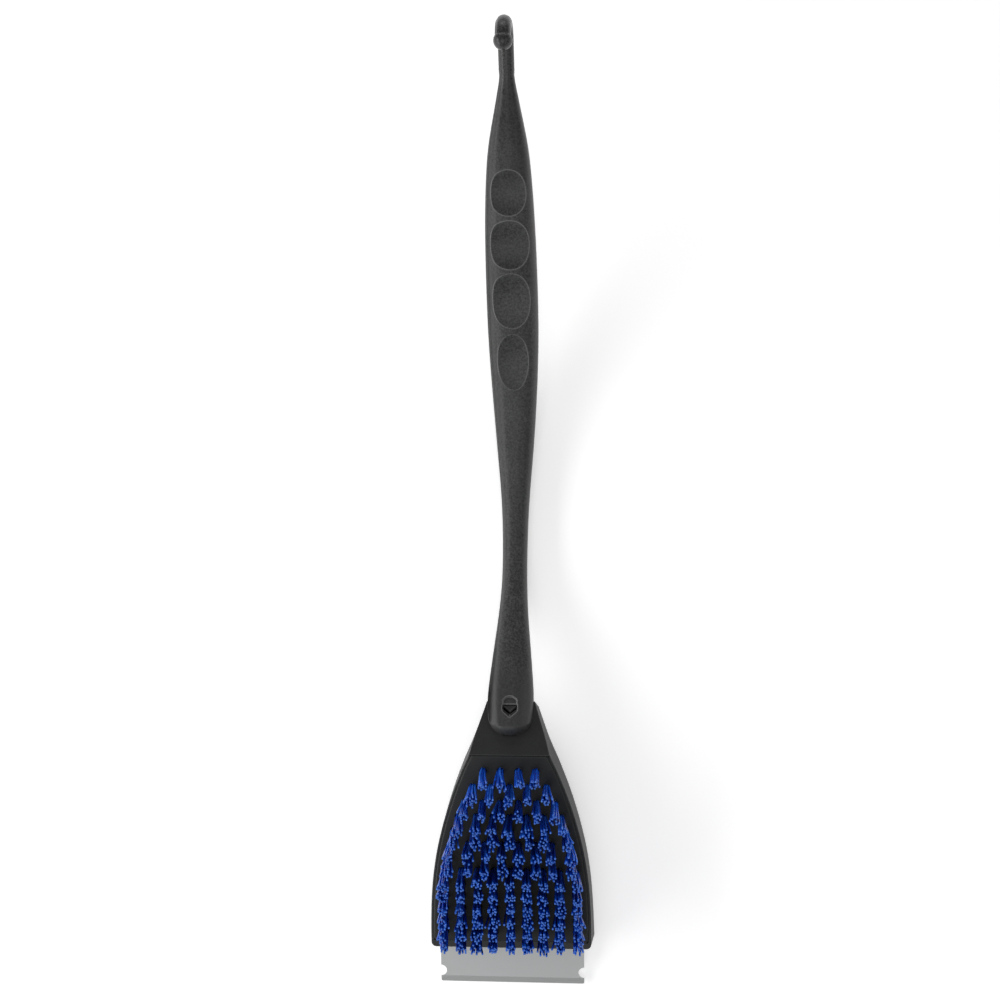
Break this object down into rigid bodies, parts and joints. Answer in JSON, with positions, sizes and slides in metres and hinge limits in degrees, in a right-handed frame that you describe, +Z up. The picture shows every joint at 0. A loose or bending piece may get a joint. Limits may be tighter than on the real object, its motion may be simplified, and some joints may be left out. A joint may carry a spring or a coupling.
{
  "type": "grill cleaning brush",
  "caption": "Long-handled grill cleaning brush with a curved grip, hanging hook, clip-off head, blue nylon tufts and a notched steel scraper.",
  "frame": {"origin": "bottom centre of the whole brush as it lies on its back, bristles up", "axes": "+Y along the brush toward the hanging hook, +X across, +Z up"},
  "size_m": [0.0824, 0.4674, 0.1159],
  "materials": {
    "handle_plastic": "fine moulded texture, charcoal",
    "head_plastic": "satin moulded, near black",
    "block_plastic": "satin moulded, near black",
    "nylon_tufts": "royal blue nylon filament",
    "wire": "drawn wire",
    "blade_steel": "satin stainless sheet",
    "screw_steel": "zinc plated",
    "catch_plastic": "satin moulded, charcoal"
  },
  "bodies": {
    "handle": {"handle": "handle_plastic"},
    "head": {"head_shell": "head_plastic", "bristle_block": "block_plastic", "tuft_row_01": "nylon_tufts", "tuft_row_02": "nylon_tufts", "tuft_row_03": "nylon_tufts", "tuft_row_04": "nylon_tufts", "tuft_row_05": "nylon_tufts", "tuft_row_06": "nylon_tufts", "tuft_row_07": "nylon_tufts", "tuft_row_08": "nylon_tufts", "tuft_row_09": "nylon_tufts", "tuft_row_10": "nylon_tufts", "tuft_row_11": "nylon_tufts", "tuft_row_12": "nylon_tufts", "tuft_row_13": "nylon_tufts", "tuft_anchors": "wire", "scraper_blade": "blade_steel", "scraper_screws": "screw_steel", "block_screws": "screw_steel", "catch_pin": "screw_steel"},
    "catch": {"release_catch": "catch_plastic"}
  },
  "joints": [
    {"name": "head_release", "type": "slide", "parent": "handle", "child": "head", "axis": [0, -0.9511, 0.309], "range_m": [0, 0.09]},
    {"name": "catch_press", "type": "hinge", "parent": "head", "child": "catch", "pos_m": [0, -0.08748, 0.02521], "axis": [1, 0, 0], "range_deg": [0, 13], "stiffness_Nm_per_rad": 0.3}
  ]
}
